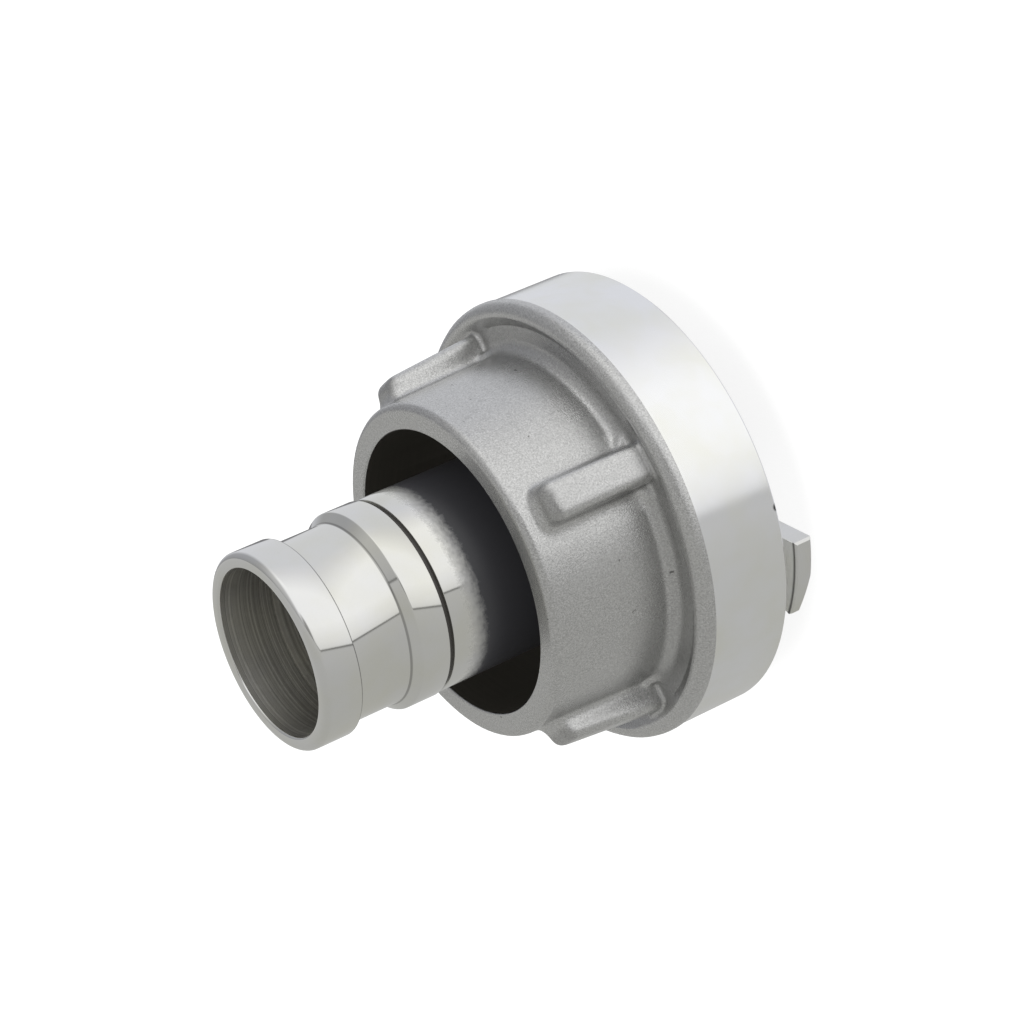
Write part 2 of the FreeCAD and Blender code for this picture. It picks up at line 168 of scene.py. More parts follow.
# The photograph's camera, from the fit of the coupling's circles
CAMERA_PLACE = (0.46554, 0.44616, 0.38450)
CAMERA_RIGHT = Vector((0.588106, 0.002620, -0.808782))
CAMERA_UP = Vector((-0.490100, 0.796643, -0.353792))
CAMERA_BACK = Vector((0.643385, 0.604451, 0.469790))
CAMERA_LENS = 122.39
CAMERA_SENSOR = 36.0
CAMERA_CLIP_START = 0.01

# The stage
FLOOR_SIZE = 3.0
FLOOR_GLOW = 0.85
SOFTBOX_SIZE = 1.6
SOFTBOX_PLACE = (0.1, 0.1, 1.4)

# The room that the metal mirrors, as colours at places from -1 to 1 along one of the camera's
# directions: the tent from far to near, the table from below up to its edge, how the tent takes
# over above that edge, and how dark the tent is on its left
TENT = [
    (-1.0, (0.2, 0.2, 0.21)), (-0.965, (0.2, 0.2, 0.21)), (-0.945, (0.72, 0.73, 0.76)),
    (-0.18, (0.74, 0.75, 0.78)), (0.0, (0.80, 0.80, 0.81)), (0.15, (0.90, 0.90, 0.90)),
    (0.35, (1.04, 1.04, 1.03)), (0.9, (1.0, 1.0, 1.0)), (0.97, (0.35, 0.35, 0.34)),
]
TABLE = [
    (-1.0, (0.455, 0.455, 0.44)), (-0.4, (0.475, 0.475, 0.46)),
    (-0.03, (0.525, 0.525, 0.52)), (-0.012, (0.2, 0.2, 0.195)),
]
ABOVE_TABLE = [
    (-1.0, (0, 0, 0)), (0.004, (0, 0, 0)), (0.016, (0.7, 0.7, 0.7)),
    (0.12, (0.82, 0.82, 0.82)), (0.4, (1, 1, 1)),
]
LEFT_SIDE = [
    (-1.0, (0.5, 0.5, 0.5)), (-0.6, (0.55, 0.55, 0.55)), (-0.25, (1, 1, 1)), (1.0, (1, 1, 1)),
]

# Sockets of the mix node, whose names don't tell numbers and colours apart
MIX_FACTOR = 0
MIX_NUMBERS = (2, 3)
MIX_COLOURS = (6, 7)
MIXED_NUMBER = 0
MIXED_COLOUR = 2


# Settings
class TailSettings(bpy.types.PropertyGroup):
    bore: FloatProperty(name="Bore radius", description="Radius of the waterway",
                        default=18.35 * MM, unit="LENGTH")
    lip: FloatProperty(name="Lip radius", description="Radius of the lip at the hose end",
                       default=21.57 * MM, unit="LENGTH")
    binding: FloatProperty(name="Binding radius", description="Radius where the hose is bound on",
                           default=19.8 * MM, unit="LENGTH")
    band: FloatProperty(name="Band radius", description="Radius of the turned band",
                        default=21.65 * MM, unit="LENGTH")
    barrel: FloatProperty(name="Barrel radius", description="Radius of the plain barrel in the neck",
                          default=21.4 * MM, unit="LENGTH")
    groove: FloatProperty(name="Groove depth", description="Depth of the narrow groove at the band",
                          default=0.9 * MM, unit="LENGTH")
    edge: FloatProperty(name="Edge round", description="Rounding of the turned edges",
                        default=0.22 * MM, unit="LENGTH")
    colour: FloatVectorProperty(name="Turned aluminium", description="Colour of the turned metal",
                                default=(0.80, 0.80, 0.795), subtype="COLOR")
    bore_colour: FloatVectorProperty(name="Bore", description="Colour of the dull metal in the bore",
                                     default=(0.88, 0.87, 0.85), subtype="COLOR")


class RingSettings(bpy.types.PropertyGroup):
    cast_colour: FloatVectorProperty(name="Cast aluminium", description="Colour of the blasted casting",
                                     default=(0.625, 0.625, 0.62), subtype="COLOR")
    rim_colour: FloatVectorProperty(name="Turned rim", description="Colour of the machined rim",
                                    default=(0.93, 0.935, 0.95), subtype="COLOR")
    # Painted shade: the neck bore's near-black colour stands for the shade deep inside the neck
    bore_colour: FloatVectorProperty(name="Neck bore", description="Colour of the painted shade in the neck bore",
                                     default=(0.07, 0.065, 0.055), subtype="COLOR")
    lug_colour: FloatVectorProperty(name="Lugs", description="Colour of the milled lugs",
                                    default=(0.8, 0.8, 0.795), subtype="COLOR")
    grain: FloatProperty(name="Casting grain", description="Size of the blasted grain",
                         default=0.35 * MM, unit="LENGTH")


class SealSettings(bpy.types.PropertyGroup):
    inner: FloatProperty(name="Inner radius", description="Radius of the hole in the seal",
                         default=21.0 * MM, unit="LENGTH")
    nose: FloatProperty(name="Nose round", description="Rounding of the seal's outer front edge",
                        default=1.3 * MM, unit="LENGTH")
    colour: FloatVectorProperty(name="Rubber", description="Colour of the seal",
                                default=(0.018, 0.018, 0.019), subtype="COLOR")


class StageSettings(bpy.types.PropertyGroup):
    floor_colour: FloatVectorProperty(name="Floor", description="Colour of the plain floor",
                                      default=(0.25, 0.25, 0.25), subtype="COLOR")
    overhead: FloatProperty(name="Overhead light", description="Power of the softbox over the floor",
                            default=22.0, unit="POWER")


# Mesh helpers
def finish_mesh(bm, name, body, nodes):
    mesh = bpy.data.meshes.new(name)
    bm.to_mesh(mesh)
    bm.free()
    mesh.shade_smooth()
    mesh.set_sharp_from_angle(angle=SMOOTH_ANGLE)
    piece = bpy.data.objects.new(name, mesh)
    bpy.context.scene.collection.objects.link(piece)
    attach(piece, body)
    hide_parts(*nodes)
    return piece


def spun(outline):
    bm = bmesh.new()
    corners = [bm.verts.new((radius, 0, height)) for radius, height in outline]
    for first, second in zip(corners, corners[1:] + corners[:1]):
        bm.edges.new((first, second))
    bmesh.ops.spin(bm, geom=bm.verts[:] + bm.edges[:], cent=(0, 0, 0), axis=(0, 0, 1),
                   angle=math.tau, steps=SPIN_STEPS, use_merge=True)
    bmesh.ops.remove_doubles(bm, verts=bm.verts[:], dist=MERGE_DISTANCE)
    bmesh.ops.recalc_face_normals(bm, faces=bm.faces[:])
    return bm


def is_on_circle(vertex, radius, height):
    reach = math.hypot(vertex.co.x, vertex.co.y)
    return abs(reach - radius) < SAME_PLACE and abs(vertex.co.z - height) < SAME_PLACE


def soften(bm, circles, size, segments):
    edges = [edge for edge in bm.edges
             if any(all(is_on_circle(vertex, radius, height) for vertex in edge.verts)
                    for radius, height in circles)]
    if not edges:
        raise RuntimeError("no edge lies on the circles that are to be softened")
    bmesh.ops.bevel(bm, geom=edges, offset=size, offset_type="OFFSET", segments=segments,
                    profile=0.5, affect="EDGES", material=-1)


def merged_copy(node):
    bm = bmesh.new()
    bm.from_mesh(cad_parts[node].data)
    bmesh.ops.remove_doubles(bm, verts=bm.verts[:], dist=COPY_MERGE_DISTANCE)
    return bm


def crisp_front(mesh):
    # The milled front has crisp edges where even small angles meet
    bm = bmesh.new()
    bm.from_mesh(mesh)
    for edge in bm.edges:
        in_front = all(vertex.co.z < RIM_END + SAME_PLACE for vertex in edge.verts)
        if in_front and edge.calc_face_angle(0) > CRISP_ANGLE:
            edge.smooth = False
    bm.to_mesh(mesh)
    bm.free()


def true_normals(piece):
    # Turned and flat faces of the casting get their exact normals, and the rounds next to them
    # meet them without a crease; every other corner weighs its faces by their area. Around the
    # ribs the normals of the mean surface take over
    mesh = piece.data
    corners = weighed_normals(piece)
    exact = {}
    for face in mesh.polygons:
        for loop, normal in exact_normals(mesh, face):
            corners[loop] = normal
            exact.setdefault(mesh.loops[loop].vertex_index, []).append(normal)
    soft = mesh.attributes["soft_normal"].data
    for loop in mesh.loops:
        normal = corners[loop.index]
        near = [sure for sure in exact.get(loop.vertex_index, []) if sure.dot(normal) > SAME_SURFACE]
        if near:
            normal = max(near, key=normal.dot)
        share = rib_zone(mesh.vertices[loop.vertex_index].co)
        if share:
            softened = Vector(soft[loop.vertex_index].vector)
            normal = normal.lerp(softened, share).normalized()
        corners[loop.index] = normal
    mesh.attributes.remove(mesh.attributes["soft_normal"])
    mesh.normals_split_custom_set(corners)


def weighed_normals(piece):
    modifier = piece.modifiers.new("Weighted normals", "WEIGHTED_NORMAL")
    modifier.keep_sharp = True
    weighed = piece.evaluated_get(bpy.context.evaluated_depsgraph_get()).data
    normals = [Vector(corner.vector) for corner in weighed.corner_normals]
    piece.modifiers.remove(modifier)
    return normals


def exact_normals(mesh, face):
    # The normals of a flat or turned face, with the loops that they belong to
    places = [mesh.vertices[index].co for index in face.vertices]
    heights = [place.z for place in places]
    if max(heights) - min(heights) < MERGE_DISTANCE:
        return [(loop, Vector((0, 0, math.copysign(1, face.normal.z)))) for loop in face.loop_indices]
    slants = turned_slants([(math.hypot(place.x, place.y), place.z) for place in places])
    normals = []
    for loop, place, (out, up) in zip(face.loop_indices, places, slants):
        away = Vector((place.x, place.y, 0)).normalized() * out
        normal = Vector((away.x, away.y, up))
        normals.append((loop, normal if normal.dot(face.normal) > 0 else -normal))
    return normals


def turned_slants(spots):
    # The normal's outward and upward parts at each spot, if one turned side or round holds them all
    for (low_radius, low), (high_radius, high) in TURNED_SIDES:
        slope = (high_radius - low_radius) / (high - low)
        if all(abs(radius - low_radius - slope * (height - low)) < ON_PROFILE
               and low - SAME_PLACE < height < high + SAME_PLACE for radius, height in spots):
            out = 1 / math.hypot(1, slope)
            return [(out, -slope * out)] * len(spots)
    for centre_radius, centre, size, side in TURNED_ROUNDS:
        slants = [((radius - centre_radius) / size * side, (height - centre) / size * side)
                  for radius, height in spots]
        if all(abs(math.hypot(out, up) - 1) * size < ON_CHORD and min(out, up) > -BEYOND_ROUND
               for out, up in slants):
            return slants
    return []


def rib_zone(place):
    # 0 outside the zones around the ribs, rising to 1 inside them
    (low, high), (near, far) = RIB_ZONE_HEIGHTS, RIB_ZONE_REACH
    rooms = []
    for angle in RIB_ANGLES:
        aside, height, out = zone_axes(place, angle)
        rooms.append(min(RIB_ZONE_HALF_WIDTH - abs(aside),
                         height - low, high - height, out - near, far - out))
    return max(0.0, min(1.0, max(rooms) / RIB_ZONE_FADE))


def zone_axes(place, angle):
    # Sideways, upwards and outwards as the rib at this angle sees them
    cosine, sine = math.cos(angle), math.sin(angle)
    return place.y * cosine - place.x * sine, place.z, place.x * cosine + place.y * sine


def soften_casting(bm):
    # The faces around the ribs are cut fine, and their corners move to the mean surface around them
    for angle in RIB_ANGLES:
        cut_fine(bm, angle)
    for vertex, (place, normal) in zip(*mean_surface(bm)):
        vertex.co += normal * normal.dot(place - vertex.co) * rib_zone(vertex.co)
    bm.normal_update()
    softened = bm.verts.layers.float_vector.new("soft_normal")
    for vertex, (_, normal) in zip(*mean_surface(bm)):
        vertex[softened] = normal


def cut_fine(bm, angle):
    # First along the zone's borders, then by planes through it in all three directions
    half, (low, high), (near, far) = RIB_ZONE_HALF_WIDTH, RIB_ZONE_HEIGHTS, RIB_ZONE_REACH
    aside = Vector((-math.sin(angle), math.cos(angle), 0))
    up = Vector((0, 0, 1))
    out = Vector((math.cos(angle), math.sin(angle), 0))
    borders = [(aside, -half), (aside, half), (up, low), (up, high), (out, near)]
    inside = steps(aside, -half, half) + steps(up, low, high) + steps(out, near, far)
    for planes in (borders, inside):
        faces = [face for face in bm.faces if touches_zone(face, angle)]
        parts = [part for face in faces for part in (face, *face.edges, *face.verts)]
        geometry = list(dict.fromkeys(parts))
        for normal, distance in planes:
            cut = bmesh.ops.bisect_plane(bm, geom=geometry, dist=MERGE_DISTANCE,
                                         plane_co=normal * distance, plane_no=normal)
            geometry = cut["geom"]


def steps(normal, low, high):
    count = math.ceil((high - low) / CAST_CUT)
    return [(normal, low + (high - low) * step / count) for step in range(1, count)]


def touches_zone(face, angle):
    asides, heights, outs = zip(*(zone_axes(vertex.co, angle) for vertex in face.verts))
    half, (low, high), near = RIB_ZONE_HALF_WIDTH, RIB_ZONE_HEIGHTS, RIB_ZONE_REACH[0]
    return (min(asides) < half - SAME_PLACE and max(asides) > SAME_PLACE - half
            and min(heights) < high - SAME_PLACE and max(heights) > low + SAME_PLACE
            and max(outs) > near + SAME_PLACE)


def mean_surface(bm):
    # The zones' vertices, with the mean place and normal of the faces near each
    faces = [face for face in bm.faces if rib_zone(face.calc_center_median()) > 0]
    centres = [face.calc_center_median() for face in faces]
    areas = [face.calc_area() for face in faces]
    tree = KDTree(len(faces))
    for index, centre in enumerate(centres):
        tree.insert(centre, index)
    tree.balance()
    vertices = [vertex for vertex in bm.verts if rib_zone(vertex.co) > 0]
    surfaces = []
    for vertex in vertices:
        place, normal, total = Vector(), Vector(), 0.0
        for centre, index, distance in tree.find_range(vertex.co, CAST_SOFTNESS):
            weight = areas[index] * (1 - (distance / CAST_SOFTNESS) ** 2) ** 2
            place += centre * weight
            normal += faces[index].normal * weight
            total += weight
        if total:
            surfaces.append((place / total, normal.normalized()))
        else:
            surfaces.append((vertex.co.copy(), vertex.normal.copy()))
    return vertices, surfaces


def reach_of(face):
    return [math.hypot(vertex.co.x, vertex.co.y) for vertex in face.verts]


# Material helpers
class Nodes:
    def __init__(self, name):
        self.material = bpy.data.materials.new(name)
        self.material.use_nodes = True
        self.tree = self.material.node_tree
        self.shader = self.tree.nodes["Principled BSDF"]
        self.object = self.add("ShaderNodeTexCoord").outputs["Object"]

    def add(self, kind, **values):
        node = self.tree.nodes.new(kind)
        for key, value in values.items():
            setattr(node, key, value)
        return node

    def link(self, source, target):
        self.tree.links.new(source, target)

    def noise(self, vector, scale, detail=2.0, roughness=0.5):
        node = self.add("ShaderNodeTexNoise")
        node.inputs["Scale"].default_value = scale
        node.inputs["Detail"].default_value = detail
        node.inputs["Roughness"].default_value = roughness
        self.link(vector, node.inputs["Vector"])
        return node.outputs["Fac"]

    def spread(self, value, low, high, to_low, to_high):
        node = self.add("ShaderNodeMapRange")
        numbers = {"From Min": low, "From Max": high, "To Min": to_low, "To Max": to_high}
        for name, number in numbers.items():
            node.inputs[name].default_value = number
        self.link(value, node.inputs["Value"])
        return node.outputs["Result"]

    def blend(self, factor, first, second):
        node = self.add("ShaderNodeMix", data_type="RGBA")
        self.link(factor, node.inputs[MIX_FACTOR])
        for socket, colour in zip(MIX_COLOURS, (first, second)):
            node.inputs[socket].default_value = (*colour, 1)
        return node.outputs[MIXED_COLOUR]

    def bump(self, height, distance, strength=1.0, under=None):
        node = self.add("ShaderNodeBump")
        node.inputs["Strength"].default_value = strength
        node.inputs["Distance"].default_value = distance
        self.link(height, node.inputs["Height"])
        if under is not None:
            self.link(under, node.inputs["Normal"])
        return node.outputs["Normal"]

    def heights(self):
        split = self.add("ShaderNodeSeparateXYZ")
        self.link(self.object, split.inputs[0])
        return split.outputs["Z"]

    def darken(self, cover, colour):
        socket = self.shader.inputs["Base Color"]
        clean, dark = MIX_COLOURS
        node = self.add("ShaderNodeMix", data_type="RGBA")
        self.link(cover, node.inputs[MIX_FACTOR])
        self.link(socket.links[0].from_socket, node.inputs[clean])
        node.inputs[dark].default_value = (*colour, 1)
        self.link(node.outputs[MIXED_COLOUR], socket)

    def radius_and_height(self):
        split = self.add("ShaderNodeSeparateXYZ")
        self.link(self.object, split.inputs[0])
        across = self.add("ShaderNodeCombineXYZ")
        self.link(split.outputs["X"], across.inputs["X"])
        self.link(split.outputs["Y"], across.inputs["Y"])
        length = self.add("ShaderNodeVectorMath", operation="LENGTH")
        self.link(across.outputs[0], length.inputs[0])
        return length.outputs["Value"], split.outputs["Z"]

    def turning(self):
        # Places with the same radius and height have the same mark, as turning leaves them
        place = self.add("ShaderNodeCombineXYZ")
        radius, height = self.radius_and_height()
        self.link(radius, place.inputs["X"])
        self.link(height, place.inputs["Y"])
        return place.outputs[0]


def shade(colour, factor):
    return tuple(channel * factor for channel in colour)


def turned_metal(name, colour, roughness, marks, scale=2600.0, streaks=0.0):
    nodes = Nodes(name)
    fine = nodes.noise(nodes.turning(), scale, detail=3.0, roughness=0.6)
    stain = nodes.noise(nodes.object, 60.0, detail=4.0, roughness=0.55)
    yellowed = tuple(channel * tint for channel, tint in zip(colour, STAIN_TINT))
    nodes.link(nodes.blend(nodes.spread(stain, 0.4, 0.65, 0.0, 1.0), colour, yellowed),
               nodes.shader.inputs["Base Color"])
    if streaks:
        nodes.darken(nodes.spread(fine, 0.35, 0.65, streaks, 0.0), DARK_MARKS_AND_SHADE)
    nodes.shader.inputs["Metallic"].default_value = 1.0
    nodes.link(nodes.spread(stain, 0.3, 0.7, roughness * 0.85, roughness * 1.15),
               nodes.shader.inputs["Roughness"])
    nodes.link(nodes.bump(fine, marks), nodes.shader.inputs["Normal"])
    return nodes


def painted_barrel_shade(nodes, low, high, roughness):
    # Painted shade that covers the metal below the low height and thins out in specks up to the high
    # one
    fade = high - low
    specks = nodes.noise(nodes.object, 900.0, detail=8.0, roughness=0.8)
    height = nodes.add("ShaderNodeMath", operation="MULTIPLY_ADD")
    nodes.link(specks, height.inputs[0])
    height.inputs[1].default_value = -fade
    nodes.link(nodes.heights(), height.inputs[2])
    cover = nodes.spread(height.outputs[0], low - fade / 2, low + fade / 2, 1.0, 0.0)
    nodes.darken(cover, BARREL_SHADE)
    nodes.link(nodes.spread(cover, 0.0, 1.0, 1.0, 0.0), nodes.shader.inputs["Metallic"])
    socket = nodes.shader.inputs["Roughness"]
    clean, in_shade = MIX_NUMBERS
    rough = nodes.add("ShaderNodeMix", data_type="FLOAT")
    nodes.link(cover, rough.inputs[MIX_FACTOR])
    nodes.link(socket.links[0].from_socket, rough.inputs[clean])
    rough.inputs[in_shade].default_value = roughness
    nodes.link(rough.outputs[MIXED_NUMBER], socket)


def corner_shade(nodes, height, reach, strength):
    # A thin ring of painted shade in a turned corner
    away = nodes.add("ShaderNodeMath", operation="SUBTRACT")
    nodes.link(nodes.heights(), away.inputs[0])
    away.inputs[1].default_value = height
    far = nodes.add("ShaderNodeMath", operation="ABSOLUTE")
    nodes.link(away.outputs[0], far.inputs[0])
    nodes.darken(nodes.spread(far.outputs[0], reach * 0.5, reach, strength, 0.0), DARK_MARKS_AND_SHADE)


def dull_back(nodes, back, head_radius):
    # The lug heads' backs are dull, with a line of painted shade along their outer edge
    radius, height = nodes.radius_and_height()
    sets_in = (back - 0.2 * MM, back - 0.05 * MM)
    nodes.link(nodes.spread(height, *sets_in, 1.0, 0.0), nodes.shader.inputs["Metallic"])
    edge = nodes.add("ShaderNodeMath", operation="MULTIPLY")
    nodes.link(nodes.spread(height, *sets_in, 0.0, 0.85), edge.inputs[0])
    outer = nodes.spread(radius, head_radius - 1.1 * MM, head_radius - 0.7 * MM, 0.0, 1.0)
    nodes.link(outer, edge.inputs[1])
    nodes.darken(edge.outputs[0], DARK_MARKS_AND_SHADE)


def nick_shade(nodes, place, reach):
    # A small spot of painted shade on an edge, standing in for a dent
    away = nodes.add("ShaderNodeVectorMath", operation="DISTANCE")
    nodes.link(nodes.object, away.inputs[0])
    away.inputs[1].default_value = place
    nodes.darken(nodes.spread(away.outputs["Value"], reach * 0.6, reach, 1.0, 0.0), DARK_MARKS_AND_SHADE)


def cast_metal(name, colour, grain):
    nodes = Nodes(name)
    fine = nodes.noise(nodes.object, 1.0 / grain, detail=3.0, roughness=0.65)
    broad = nodes.noise(nodes.object, 260.0, detail=4.0, roughness=0.6)
    patches = nodes.noise(nodes.object, 70.0, detail=3.0, roughness=0.5)
    pits = nodes.noise(nodes.object, 520.0, detail=1.0)
    grains = nodes.spread(fine, 0.3, 0.7, 0.0, 1.0)
    nodes.link(nodes.blend(grains, shade(colour, 0.72), shade(colour, 1.22)),
               nodes.shader.inputs["Base Color"])
    nodes.darken(nodes.spread(pits, 0.19, 0.215, 0.7, 0.0), DARK_MARKS_AND_SHADE)
    radius, height = nodes.radius_and_height()
    # Painted shade in the trough and on the slopes at the ribs' ends
    for radii, heights, strength in CAST_SHADE:
        cover = nodes.add("ShaderNodeMath", operation="MULTIPLY")
        nodes.link(nodes.spread(radius, *radii, 0.0, 1.0), cover.inputs[0])
        nodes.link(nodes.spread(height, *heights, 0.0, strength), cover.inputs[1])
        nodes.darken(cover.outputs[0], DARK_MARKS_AND_SHADE)
    nodes.shader.inputs["Metallic"].default_value = 1.0
    nodes.link(nodes.spread(patches, 0.3, 0.7, 0.23, 0.3), nodes.shader.inputs["Roughness"])
    uneven = nodes.bump(broad, 0.08 * MM, 0.6)
    nodes.link(nodes.bump(fine, 0.07 * MM, 0.85, uneven), nodes.shader.inputs["Normal"])
    return nodes.material


# A dull dark finish that is painted shade, for the deep neck bore and the narrow groove
def painted_shade_finish(name, colour):
    nodes = Nodes(name)
    fine = nodes.noise(nodes.turning(), 1500.0, detail=2.0)
    nodes.link(nodes.blend(fine, shade(colour, 0.8), shade(colour, 1.2)),
               nodes.shader.inputs["Base Color"])
    nodes.shader.inputs["Metallic"].default_value = 0.0
    nodes.link(nodes.spread(fine, 0.3, 0.7, 0.28, 0.36), nodes.shader.inputs["Roughness"])
    nodes.link(nodes.bump(fine, 0.01 * MM), nodes.shader.inputs["Normal"])
    return nodes.material


def moulded_rubber(name, colour):
    nodes = Nodes(name)
    fine = nodes.noise(nodes.object, 1800.0, detail=3.0)
    nodes.link(nodes.blend(fine, shade(colour, 0.8), shade(colour, 1.3)),
               nodes.shader.inputs["Base Color"])
    nodes.shader.inputs["Metallic"].default_value = 0.0
    nodes.link(nodes.spread(fine, 0.3, 0.7, 0.5, 0.62), nodes.shader.inputs["Roughness"])
    nodes.link(nodes.bump(fine, 0.02 * MM), nodes.shader.inputs["Normal"])
    return nodes.material


# Pieces
class COUPLING_OT_locking_ring(bpy.types.Operator):
    """Dresses the locking ring: blasted casting, machined rim and lugs, and a neck bore painted near
    black as the shade deep inside it
    """
    bl_idname = "coupling.locking_ring"
    bl_label = "Locking ring"

    def execute(self, context):
        settings = context.scene.coupling_ring
        bm = merged_copy("locking_ring")
        for face in bm.faces:
            face.material_index = self.finish_of(face)
        soften_casting(bm)
        piece = finish_mesh(bm, "cast_locking_ring", "ring", ["locking_ring"])
        piece.data.materials.append(cast_metal("Blasted casting", settings.cast_colour, settings.grain))
        rim = turned_metal("Machined rim", settings.rim_colour, roughness=0.2, marks=0.004 * MM)
        # Painted shade at a nick in the rim's edge
        nick_shade(rim, RIM_NICK_SHADE, RIM_NICK_SHADE_REACH)
        piece.data.materials.append(rim.material)
        # The neck bore gets near-black painted shade
        piece.data.materials.append(painted_shade_finish("Painted shade in the neck bore", settings.bore_colour))
        lugs = turned_metal("Milled lugs", settings.lug_colour, roughness=0.42, marks=0.05 * MM)
        # The lugs get a line of painted shade along their heads' backs
        dull_back(lugs, LUG_UNDERSIDE, LUG_HEAD_RADIUS)
        piece.data.materials.append(lugs.material)
        crisp_front(piece.data)
        true_normals(piece)
        return {"FINISHED"}

    def finish_of(self, face):
        heights = [vertex.co.z for vertex in face.verts]
        in_neck = min(heights) > COLLAR_BACK + SAME_PLACE
        # Faces inside the neck's bore get the near-black painted shade
        if in_neck and max(reach_of(face)) < NECK_BORE_RADIUS + SAME_PLACE:
            return PAINTED_BORE_SHADE
        if min(heights) < RING_FRONT - SAME_PLACE:
            return LUG
        return RIM if max(heights) < RIM_END + SAME_PLACE else CAST


class COUPLING_OT_hose_tail(bpy.types.Operator):
    """Turns the hose tail with its lip, binding, band, journal and collar"""
    bl_idname = "coupling.hose_tail"
    bl_label = "Hose tail"

    def execute(self, context):
        size = context.scene.coupling_tail
        groove = size.band - size.groove
        outline = [
            (size.bore, SEAL_SEAT),
            (SEAT_RADIUS, SEAL_SEAT),
            (SEAT_RADIUS, SEAL_SEAT_LIP),
            (SEAT_MOUTH_RADIUS, SEAL_SEAT_LIP),
            (SEAT_MOUTH_RADIUS, COLLAR_FRONT),
            (COLLAR_RADIUS, COLLAR_FRONT),
            (COLLAR_RADIUS, COLLAR_BACK),
            (JOURNAL_RADIUS, COLLAR_BACK),
            (JOURNAL_RADIUS, RETAINER_GROOVE[0]),
            (RETAINER_GROOVE_RADIUS, RETAINER_GROOVE[0]),
            (RETAINER_GROOVE_RADIUS, RETAINER_GROOVE[1]),
            (JOURNAL_RADIUS, RETAINER_GROOVE[1]),
            (JOURNAL_RADIUS, JOURNAL_END),
            (size.barrel, JOURNAL_TAPER_END),
            (size.barrel, BAND_GROOVE[0]),
            (groove, BAND_GROOVE[0]),
            (groove, BAND_GROOVE[1]),
            (size.band, BAND_GROOVE[1]),
            (size.band, BAND_END),
            (size.binding, BINDING_START),
            (size.binding, LIP_START),
            (size.lip, LIP_START),
            (size.lip, TAIL_END),
            (size.bore, TAIL_END),
        ]
        bm = spun(outline)
        soften(bm, [(size.lip, TAIL_END)], LIP_ROUND, segments=8)
        soften(bm, [(size.bore, TAIL_END)], MOUTH_ROUND, segments=5)
        soften(bm, [(size.lip, LIP_START), (size.binding, LIP_START), (size.binding, BINDING_START),
                    (size.band, BAND_END)], size.edge, segments=3)
        soften(bm, [(size.barrel, BAND_GROOVE[0]), (size.band, BAND_GROOVE[1]),
                    (COLLAR_RADIUS, COLLAR_FRONT), (SEAT_MOUTH_RADIUS, COLLAR_FRONT)],
               size.edge / 2, segments=3)
        for face in bm.faces:
            face.material_index = self.finish_of(face, size)
        piece = finish_mesh(bm, "turned_hose_tail", "tail", ["hose_tail"])
        outside = turned_metal("Turned aluminium", size.colour, roughness=0.06, marks=0.0012 * MM)
        # Painted shade on the barrel inside the neck's mouth
        painted_barrel_shade(outside, *BARREL_SHADE_HEIGHTS, roughness=0.3)
        # Painted shade in the tail's turned corners
        for height, reach, strength in TAIL_CORNER_SHADE:
            corner_shade(outside, height, reach, strength)
        bore = turned_metal("Dull bore", size.bore_colour, roughness=0.4, marks=0.05 * MM,
                            scale=2200.0, streaks=0.45)
        collar = turned_metal("Turned collar", size.colour, roughness=0.16, marks=0.003 * MM)
        piece.data.materials.append(outside.material)
        piece.data.materials.append(bore.material)
        # Painted shade at the bottom of the narrow groove
        piece.data.materials.append(painted_shade_finish("Painted shade in the groove", GROOVE_SHADE))
        piece.data.materials.append(collar.material)
        return {"FINISHED"}

    def finish_of(self, face, size):
        heights = [vertex.co.z for vertex in face.verts]
        if max(reach_of(face)) < size.bore + SAME_PLACE:
            return TAIL_BORE
        if max(heights) < JOURNAL_END + SAME_PLACE:
            return COLLAR
        start, end = BAND_GROOVE
        in_groove = start - SAME_PLACE < min(heights) and max(heights) < end + SAME_PLACE
        is_deep = max(reach_of(face)) < size.band - size.groove / 2
        return GROOVE_BOTTOM if in_groove and is_deep else OUTSIDE


class COUPLING_OT_face_seal(bpy.types.Operator):
    """Moulds the rubber seal in the collar's front, with its lip inside"""
    bl_idname = "coupling.face_seal"
    bl_label = "Face seal"

    def execute(self, context):
        size = context.scene.coupling_seal
        neck = SEAT_MOUTH_RADIUS - SEAL_CLEARANCE
        flange_front = SEAL_SEAT_LIP + SEAL_CLEARANCE
        lip_root = SEAL_LOW.z + SEAL_LIP_LENGTH
        bm = spun([
            (size.inner, SEAL_SEAT),
            (SEAL_HIGH.x, SEAL_SEAT),
            (SEAL_HIGH.x, flange_front),
            (neck, flange_front),
            (neck, SEAL_LOW.z),
            (size.inner, SEAL_LOW.z),
            (size.inner, lip_root),
            (size.inner + SEAL_RELIEF, lip_root + SEAL_RELIEF / 2),
            (size.inner, lip_root + SEAL_RELIEF),
        ])
        soften(bm, [(neck, SEAL_LOW.z)], size.nose, segments=6)
        soften(bm, [(size.inner, SEAL_LOW.z)], SEAL_MOUTH_ROUND, segments=3)
        soften(bm, [(size.inner + SEAL_RELIEF, lip_root + SEAL_RELIEF / 2)],
               SEAL_RELIEF_ROUND, segments=3)
        piece = finish_mesh(bm, "moulded_face_seal", "tail", ["face_seal"])
        piece.data.materials.append(moulded_rubber("Seal rubber", size.colour))
        return {"FINISHED"}


